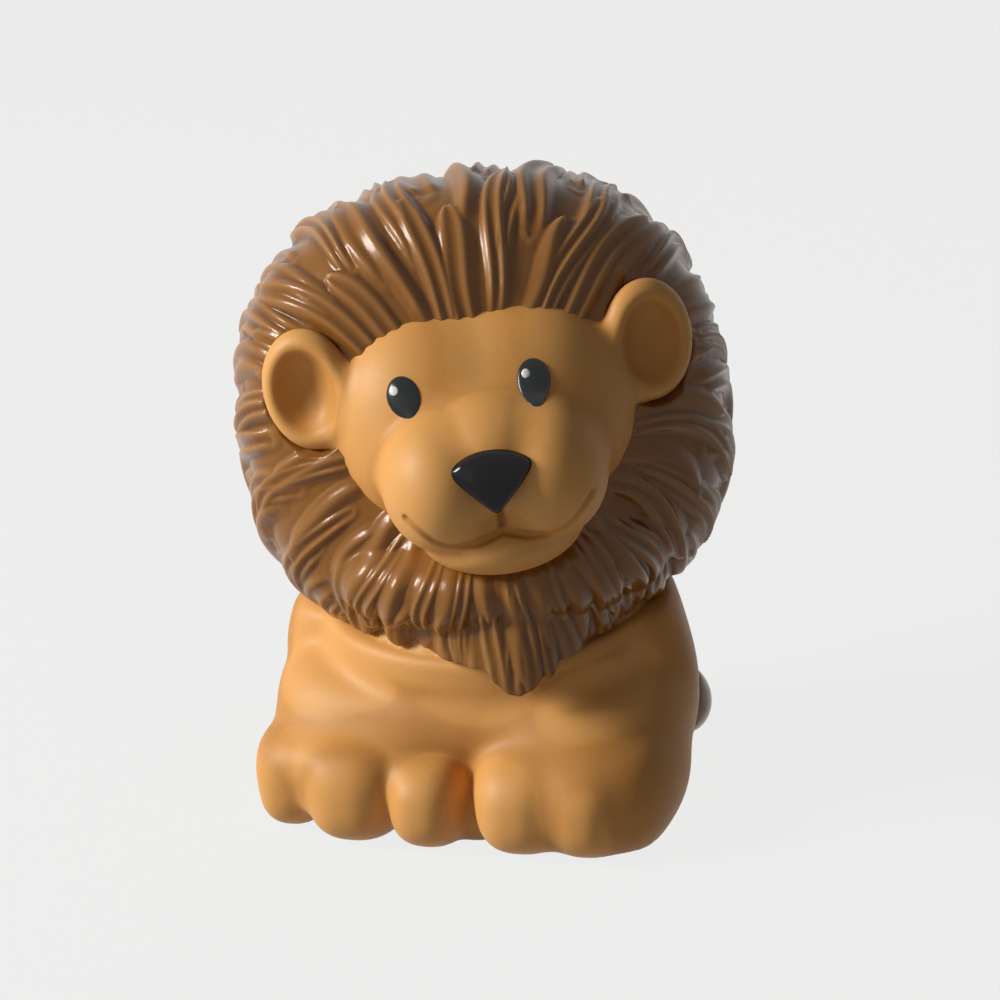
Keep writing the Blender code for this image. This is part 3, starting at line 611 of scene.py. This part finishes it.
# The grid's points round and along the mane, where it begins at the face, and where its halves meet
MANE_COLUMNS, MANE_ROWS, MANE_FIRST, MANE_SPLIT = 720, 330, 0.10, 4.0
BEARD_WAY = np.array((0, -19.0, -22.0)) / math.hypot(19.0, 22.0)
BEARD_SWELL, BEARD_SPREAD, TIP_SWELL, TIP_SPREAD = 8.2, math.radians(35), 4.0, math.radians(13)
LOCK_HALF_WIDTH, LOCK_LIFT, LOCK_LENGTH, LOCK_SINK, LOCK_STEPS = 2.6, 1.3, 12.8, 0.45, 14
# How strongly a lock runs backwards, how much of that is lost low down, and how far it sways
BACKWARDS, LOW_LOSS, LOCK_SWAY = 0.95, 0.45, 0.15
# How strongly a lock falls at its root, more along its run, more low down, and more behind
FALL, FALL_ALONG, FALL_LOW, FALL_BEHIND = 0.2, 0.45, 1.7, 1.6
# As shares: a lock's width and rise at its root, and where it is widest, highest, and begins its tip
ROOT_WIDTH, ROOT_RISE, WIDEST, HIGHEST, TIP_START = 0.72, 0.62, 0.62, 0.77, 0.72
# Locks with a smaller half width than this have one strand or two, and wider ones have two or three
NARROW_LOCK = 1.7
COLLAR_RADIUS, COLLAR_HALF, COLLAR_RISE = 14.2, 4.0, 5.2
# From the neck's frame to the upright head's
NECK_PLACE = Matrix.Translation(-HEAD) @ HEAD_NECK


def mane_reach(ways):
    """How far the mane reaches from its middle, for directions of length one."""
    along = np.where(ways[:, 1] < 0, MANE_FRONT, MANE_BACK)
    up = np.where(ways[:, 2] > 0, MANE_UP, MANE_DOWN)
    plain = ((np.abs(ways[:, 0]) / MANE_HALF_WIDTH) ** MANE_POWER + (np.abs(ways[:, 1]) / along) ** MANE_POWER
             + (np.abs(ways[:, 2]) / up) ** MANE_POWER) ** (-1 / MANE_POWER)
    away = np.arccos(np.clip(ways @ BEARD_WAY, -1, 1))
    return (plain + BEARD_SWELL * np.exp(-(away / BEARD_SPREAD) ** 2)
            + TIP_SWELL * np.exp(-(away / TIP_SPREAD) ** 2))


def collared(ways, reach):
    """The reach with the collar round the neck, where that stands out of the mane."""
    for _ in range(4):
        local = in_frame(MANE + ways * reach[:, None], NECK_PLACE)
        off = np.hypot(local[:, 0], local[:, 1]) - COLLAR_RADIUS
        reach = reach + np.maximum(COLLAR_HALF - np.hypot(off, local[:, 2] - COLLAR_RISE), 0)
    return reach


def lock_path(way, length, seed):
    """A lock's run over the mane: away from the face, and bending down where nothing holds it up."""
    path = []
    for i in range(LOCK_STEPS + 1):
        share = i / LOCK_STEPS
        reach = mane_reach(way[None])[0]
        path.append(MANE + way * reach)
        behind = max(0.0, way[1])
        low = max(0.0, 0.35 - way[2])
        down = FALL + (FALL_ALONG + FALL_LOW * low) * share + FALL_BEHIND * behind
        pull = np.array((way[0], BACKWARDS * (1 - behind) * (1 - LOW_LOSS * low), way[2] - down))
        along = pull - way * pull.dot(way)
        along = along / np.linalg.norm(along)
        along = along + LOCK_SWAY * math.sin(6.0 * share + 2.1 * seed) * np.cross(way, along)
        way = way + along * length / LOCK_STEPS / reach
        way = way / np.linalg.norm(way)
    return np.array(path)


def lock_rows():
    """Where the locks begin, with their length, half width and lift, row by row from the face to the back."""
    # How far from straight ahead, how many, where round the face and over how much of it, and the shares
    # of length, width and lift
    rows = ((0.125, 7, 0.75, 0.26, 0.62, 0.44, 0.60), (0.170, 9, 0.75, 0.34, 0.70, 0.50, 0.75),
            (0.215, 11, 0.75, 0.42, 0.80, 0.60, 0.85), (0.265, 38, 0.0, 1.0, 0.98, 0.60, 0.70),
            (0.37, 36, 0.014, 1.0, 1.02, 0.77, 0.85), (0.48, 32, 0.0, 1.0, 1.06, 0.92, 0.92),
            (0.59, 28, 0.018, 1.0, 1.02, 1.0, 0.92), (0.71, 22, 0.0, 1.0, 0.94, 1.04, 0.88),
            (0.83, 14, 0.036, 1.0, 0.86, 1.08, 0.80), (0.94, 6, 0.0, 1.0, 0.70, 1.08, 0.72))
    locks = []
    for row, (tilt_share, number, middle, spread, long, wide, high) in enumerate(rows):
        for i in range(number):
            wave = math.sin(2.4 * i + 1.9 * row)
            other = math.cos(1.7 * i + 0.8 * row)
            tilt = math.pi * (tilt_share + 0.022 * wave)
            around = math.tau * (middle + spread * ((i + 0.5 + 0.2 * other) / number - 0.5))
            out = math.sin(tilt)
            way = np.array((out * math.cos(around), -math.cos(tilt), out * math.sin(around)))
            length = LOCK_LENGTH * long * (1 + 0.22 * wave)
            half_width = LOCK_HALF_WIDTH * wide * (1 + 0.18 * other)
            locks.append((way, length, half_width, LOCK_LIFT * high * (1 + 0.2 * wave), i))
    return locks


def lock_height(points, path, half_width, lift, seed):
    """How high a lock stands over the points that it covers, or else zero."""
    best = np.full(len(points), 1e9)
    run = np.zeros(len(points))
    across = np.zeros(len(points))
    steps = len(path) - 1
    for i in range(steps):
        start, step = path[i], path[i + 1] - path[i]
        share = np.clip((points - start) @ step / step.dot(step), 0, 1)
        off = points - start - share[:, None] * step
        gap = np.linalg.norm(off, axis=1)
        side = np.sign(off @ np.cross(step, start - MANE))
        closer = gap < best
        best = np.where(closer, gap, best)
        run = np.where(closer, (i + share) / steps, run)
        across = np.where(closer, side * gap, across)
    taper = ROOT_WIDTH + (1 - ROOT_WIDTH) * np.sin(np.clip(run / WIDEST, 0, 1) * math.pi / 2)
    tip = np.clip((run - TIP_START) / (1 - TIP_START), 0, 1)
    half = half_width * np.maximum(taper * np.sqrt(1 - tip ** 2), 0.04)
    across = np.clip(across / half, -1, 1)
    rise = lift * (ROOT_RISE + (1 - ROOT_RISE) * np.clip(run / HIGHEST, 0, 1))
    rise = rise * np.clip(0.35 + run / 0.16, 0, 1)
    strands = 1 + seed % 2 if half_width < NARROW_LOCK else 2 + seed % 2
    bend = 0.3 * math.sin(seed) + 0.22 * np.sin(5 * run + 1.3 * seed)
    ridge = (0.5 + 0.5 * np.cos(math.pi * (strands * across + (strands + 1) % 2 + bend))) ** 1.2
    # The grooves between the strands get shallower towards the tip
    crown = (1 - across ** 2) ** 0.6 * (1 - (0.62 - 0.30 * run) * (1 - ridge))
    return np.where((best < half) & (run < 0.9999), rise * crown, 0.0)


# The room that an ear needs: half its width and height, how far back it reaches, and its bowl's rim
EAR_ROOM, EAR_ROOM_BACK, BOWL_START, BOWL_WIDTH, BOWL_DEPTH = (4.8, 6.1), -2.4, 0.82, 0.30, 5.0


def clear_of_ears(points):
    """The mane's points pushed back where the ears' cups need the room."""
    for side in (1, -1):
        turn = np.array(ear_turn(side).to_3x3())
        middle = np.array((side * EAR_SPREAD, -EAR_FORWARD, EAR_RISE))
        local = (points - middle) @ turn
        off = np.hypot(local[:, 0] / EAR_ROOM[0], local[:, 1] / EAR_ROOM[1])
        limit = EAR_ROOM_BACK + BOWL_DEPTH * (np.maximum(off - BOWL_START, 0) / BOWL_WIDTH) ** 2
        local[:, 2] = np.minimum(local[:, 2], limit)
        points = local @ turn.T + middle
    return points


# How many rounds of relaxing make the mane's lower edge even, and within what height of the edge
EDGE_ROUNDS, EDGE_BAND = 18, 1.3


def kept_above(points, edges):
    """The mane's points moved up the neck's axis where the body needs the room, with an even lower edge."""
    local = in_frame(points, NECK_PLACE)
    radius = np.hypot(local[:, 0], local[:, 1])
    limit = dome_height(radius, RUNNING_GAP)
    aside = np.abs(local[:, 0]) / (TIP_WIDTH / 2)
    tip = (aside < 1) & (radius > SWEEP_RADIUS + RUNNING_GAP) & (local[:, 1] < 0)
    limit = np.where(tip, limit - (SWEEP_DROP - RIM_DROP) * (1 - aside ** 2), limit)
    for _ in range(EDGE_ROUNDS):
        near = np.exp(-((local[:, 2] - limit) / EDGE_BAND) ** 2)[:, None]
        local = local + near * (relaxed(local, edges, 0.5) - local)
        local[:, 2] = np.maximum(local[:, 2], limit)
    forward = np.array(NECK_PLACE)
    return local @ forward[:3, :3].T + forward[:3, 3]


def mane_grid():
    """Directions from the mane's middle, ring by ring from the face back, and the quads between them."""
    tilt = math.pi * (MANE_FIRST + (1 - MANE_FIRST) * np.arange(MANE_ROWS + 1) / MANE_ROWS)
    around = math.tau * np.arange(MANE_COLUMNS) / MANE_COLUMNS
    tilts, arounds = np.meshgrid(tilt, around, indexing="ij")
    out = np.sin(tilts)
    ways = np.stack((out * np.cos(arounds), -np.cos(tilts), out * np.sin(arounds)), axis=-1)
    numbers = np.arange((MANE_ROWS + 1) * MANE_COLUMNS).reshape(MANE_ROWS + 1, MANE_COLUMNS)
    low, high = numbers[:-1], numbers[1:]
    quads = np.stack((low, np.roll(low, -1, axis=1), np.roll(high, -1, axis=1), high), axis=-1)
    return ways.reshape(-1, 3), quads.reshape(-1, 4)


def locks_over(points):
    """How high the locks stand over the points of the plain mane."""
    height = np.zeros(len(points))
    for way, length, half_width, lift, seed in lock_rows():
        path = lock_path(way, length, seed)
        middle = path.mean(axis=0)
        span = np.linalg.norm(path - middle, axis=1).max() + half_width + 0.2
        near = np.nonzero(((points - middle) ** 2).sum(axis=1) < span * span)[0]
        height[near] = np.maximum(height[near], lock_height(points[near], path, half_width, lift, seed))
    return height


# The painted light of a point level with those around it, and the height over them that adds one more:
# painted highlight on ridges, painted shade in grooves
LEVEL_PAINTED_LIGHT, FULL_PAINTED_LIGHT = 0.55, 0.5


def make_mane():
    """The mane's skin in two pieces, front and back, with painted highlight where it is raised and painted
    shade in its grooves.
    """
    ways, quads = mane_grid()
    edges = np.concatenate((quads[:, :2], quads[:, 1:3]))
    reach = mane_reach(ways)
    height = locks_over(MANE + ways * reach[:, None])
    base = relaxed(collared(ways, reach)[:, None], edges, 0.5, 6)[:, 0] - LOCK_SINK
    height = relaxed(height[:, None], edges, 0.25, 1)[:, 0]
    around_it = relaxed(height[:, None], edges, 0.5, 14)[:, 0]
    # Painted highlight on ridges and painted shade in grooves, from the height over the blurred height around
    # it
    mane_painted_light = LEVEL_PAINTED_LIGHT + (height - around_it) / FULL_PAINTED_LIGHT
    points = kept_above(clear_of_ears(MANE + ways * (base + height)[:, None]), edges)
    pieces = []
    front = (points[:, 1] < MANE_SPLIT)[quads].sum(axis=1) >= 2
    for name, chosen in (("mane_front_skin", front), ("mane_back_skin", ~front)):
        used, renumbered = np.unique(quads[chosen], return_inverse=True)
        mesh = bpy.data.meshes.new(name)
        mesh.from_pydata(points[used].tolist(), [], renumbered.reshape(-1, 4).tolist())
        add_values(mesh, "painted_light_and_shade", np.clip(mane_painted_light[used], 0, 1))
        pieces.append(shown(name, mesh))
    return pieces


# Eyes and nose

# Across and up from the head's middle
EYES = {"left": (4.75, 5.85), "right": (-7.15, 5.85)}
EYE_RADII, GLINT_RADIUS = (1.52, 1.75), 0.40
# The lowest and highest point of eye and dot over the face, and where the dot is, as shares of the eye
EYE_HEIGHTS, GLINT_HEIGHTS, GLINT_SHIFT = (-0.45, 0.42), (0.20, 0.46), (-0.44, 0.30)


def lens(name, middle, radii, heights, segments):
    """A lens that lies on the face, seen as an oval from the front, between two heights over the face."""
    shape = bmesh.new()
    bmesh.ops.create_uvsphere(shape, u_segments=segments, v_segments=segments // 2, radius=1)
    mesh = bpy.data.meshes.new(name)
    shape.to_mesh(mesh)
    shape.free()
    ball = mesh_points(mesh)
    places, outward = front_of_face(middle[0] + radii[0] * ball[:, 0], middle[1] + radii[1] * ball[:, 1])
    low, high = heights
    rise = (low + high) / 2 + (high - low) / 2 * ball[:, 2]
    set_points(mesh, places + outward * rise[:, None])
    return shown(name, mesh)


def make_eye(side):
    """A black eye and its white dot, still in millimetres."""
    middle = np.array(EYES[side])
    eye = lens(side + "_eye_skin", middle, EYE_RADII, EYE_HEIGHTS, 48)
    dot = middle + np.array(GLINT_SHIFT) * EYE_RADII
    return eye, lens(side + "_glint_skin", dot, (GLINT_RADIUS, GLINT_RADIUS), GLINT_HEIGHTS, 24)


# Across and up from the head's middle, how far the nose's own middle lies in the face, and its voxels
NOSE_ACROSS, NOSE_UP, NOSE_SINK, NOSE_VOXEL = -0.30, -0.4, 0.9, 0.15
NOSE_EDGE, NOSE_RIDGE = 0.7, 0.3


def nose_distance(local):
    """How far points about the nose's middle are from it: a wide rounded triangle, whose top slopes back."""
    across, out, rise = np.hypot(local[:, 0], 0.3), -local[:, 1], local[:, 2]
    lower_side = across * 0.724 - rise * 0.691 - 2.50
    top_arc = np.hypot(across, rise + 3.7) - 5.95
    front = out - 2.55 + 0.075 * across ** 2 + 0.05 * (rise + 1.5) ** 2
    top_slope = out * 0.62 + (rise - 0.9) * 0.78 - 1.65 + 0.02 * across ** 2
    total = smooth_max(lower_side, top_arc, NOSE_EDGE)
    total = smooth_max(total, front, NOSE_EDGE)
    total = smooth_max(total, top_slope, NOSE_RIDGE)
    return smooth_max(total, -out - 1.5, 0.5)


def make_nose():
    """The black nose, still in millimetres."""
    places, _ = front_of_face(np.array((NOSE_ACROSS,)), np.array((NOSE_UP,)))
    middle = places[0] + np.array((0, NOSE_SINK, 0))
    outside = lump(middle, (5.2, 3.2, 4.4))
    return soft_skin("nose_skin", [outside], NOSE_VOXEL, lambda points: nose_distance(points - middle), 5)


# Putting it together

finish(placed(make_body(), STILL), TAN, "body", "tan_vinyl", "body_shell")
tail, tuft = make_tail()
finish(placed(tail, STILL), TAN, "body", "tan_vinyl", "tail")
finish(placed(tuft, STILL), BROWN, "body", "brown_vinyl", "tail_tuft")
face = make_face()
eyes = {side: make_eye(side) for side in EYES}
nose = make_nose()
finish(placed(face, HEAD_PLACE), TAN, "head", "tan_vinyl", "face")
finish(placed(nose, HEAD_PLACE), BLACK, "head", "black_gloss", "nose")
for side, (eye, glint) in eyes.items():
    finish(placed(eye, HEAD_PLACE), EYE, "head", "black_gloss", side + "_eye")
    finish(placed(glint, HEAD_PLACE), WHITE, "head", "white_gloss", side + "_eye_glint")
mane_front, mane_back = make_mane()
finish(placed(mane_front, HEAD_PLACE), BROWN, "head", "brown_vinyl", "mane_front")
finish(placed(mane_back, HEAD_PLACE), BROWN, "head", "brown_vinyl", "mane_back")
for name, material in (("base_plate", TAN), ("neck_spindle", GREY), ("neck_clip", GREY)):
    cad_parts[name].data.materials.clear()
    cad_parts[name].data.materials.append(material)


# Stage, light and camera

def seen_rays(tree):
    """One for what the camera sees, directly, mirrored or through glass, and zero for light on surfaces."""
    rays = node(tree, "ShaderNodeLightPath")
    seen = rays.outputs["Is Camera Ray"]
    for other in ("Is Glossy Ray", "Is Transmission Ray"):
        both = node(tree, "ShaderNodeMath", operation="MAXIMUM")
        tree.links.new(seen, both.inputs[0])
        tree.links.new(rays.outputs[other], both.inputs[1])
        seen = both.outputs[0]
    return seen


# What the camera sees behind the figure, and the floor's own grey under the lamps
PALE, FLOOR_GREY = (0.910, 0.910, 0.905), (0.42, 0.42, 0.42)
# How much of what is seen of the floor is the pale colour, and how much light the world gives
FLOOR_GLOW, WORLD_LIGHT, FLOOR_HALF_SIZE = 0.90, 0.075, 3.0


def add_stage():
    """A pale floor that keeps the shadow, and a pale world that shows behind it."""
    made = bpy.data.materials.new("pale floor")
    made.use_nodes = True
    tree = made.node_tree
    shader = tree.nodes["Principled BSDF"]
    shader.inputs["Base Color"].default_value = (*FLOOR_GREY, 1)
    shader.inputs["Roughness"].default_value = 0.9
    glow = node(tree, "ShaderNodeEmission")
    glow.inputs["Color"].default_value = (*PALE, 1)
    part = node(tree, "ShaderNodeMath", operation="MULTIPLY")
    part.inputs[1].default_value = FLOOR_GLOW
    mix = node(tree, "ShaderNodeMixShader")
    tree.links.new(seen_rays(tree), part.inputs[0])
    tree.links.new(part.outputs[0], mix.inputs["Fac"])
    tree.links.new(shader.outputs[0], mix.inputs[1])
    tree.links.new(glow.outputs[0], mix.inputs[2])
    tree.links.new(mix.outputs[0], tree.nodes["Material Output"].inputs["Surface"])
    shape = bmesh.new()
    bmesh.ops.create_grid(shape, x_segments=8, y_segments=8, size=FLOOR_HALF_SIZE)
    mesh = bpy.data.meshes.new("floor")
    shape.to_mesh(mesh)
    shape.free()
    mesh.materials.append(made)
    shown("floor", mesh)
    world = bpy.data.worlds.new("studio")
    bpy.context.scene.world = world
    world.use_nodes = True
    tree = world.node_tree
    back = tree.nodes["Background"]
    back.inputs["Color"].default_value = (*PALE, 1)
    level = node(tree, "ShaderNodeMapRange")
    level.inputs["To Min"].default_value = WORLD_LIGHT
    level.inputs["To Max"].default_value = 1.0
    tree.links.new(seen_rays(tree), level.inputs["Value"])
    tree.links.new(level.outputs["Result"], back.inputs["Strength"])


# What the lamps point at
LIT_MIDDLE = Vector((0, 0, 0.03))


def add_lamp(name, place, power, size):
    """A square lamp that points at the figure."""
    data = bpy.data.lights.new(name, "AREA")
    data.shape = "SQUARE"
    data.size = size
    data.energy = power
    made = bpy.data.objects.new(name, data)
    made.location = place
    made.rotation_euler = (LIT_MIDDLE - Vector(place)).to_track_quat("-Z", "Y").to_euler()
    bpy.context.scene.collection.objects.link(made)


# Where the camera stands about the figure, and how far away
CAMERA_TURN, CAMERA_RISE, CAMERA_ROLL = math.radians(18), math.radians(18), math.radians(4)
CAMERA_DISTANCE = 0.30
# The picture's width in metres at what the camera points at, and that place's height
PICTURE_WIDTH, AIM_HEIGHT = 1 / 10.3, 0.0289
# How far the aim is moved in the picture, to the left and down
AIM_LEFT, AIM_DOWN = 0.00034, 0.00029
SENSOR_WIDTH = 36


def add_camera():
    """The camera at the photograph's angle."""
    level = math.cos(CAMERA_RISE)
    back = Vector((math.sin(CAMERA_TURN) * level, -math.cos(CAMERA_TURN) * level, math.sin(CAMERA_RISE)))
    right = Vector((math.cos(CAMERA_TURN), math.sin(CAMERA_TURN), 0))
    up = back.cross(right)
    data = bpy.data.cameras.new("camera")
    data.sensor_width = SENSOR_WIDTH
    data.lens = SENSOR_WIDTH * CAMERA_DISTANCE / PICTURE_WIDTH
    made = bpy.data.objects.new("camera", data)
    axes = Matrix((right, up, back)).transposed().to_4x4()
    aim = Vector((0, 0, AIM_HEIGHT)) - right * AIM_LEFT - up * AIM_DOWN
    place = Matrix.Translation(aim + back * CAMERA_DISTANCE)
    made.matrix_world = place @ axes @ Matrix.Rotation(-CAMERA_ROLL, 4, "Z")
    bpy.context.scene.collection.objects.link(made)
    bpy.context.scene.camera = made


add_stage()
add_lamp("key", (-0.47, -0.25, 0.31), 3.9, 0.17)
add_lamp("fill", (-0.30, -0.52, 0.12), 0.25, 0.5)
add_camera()
bpy.context.scene.view_settings.view_transform = "Standard"
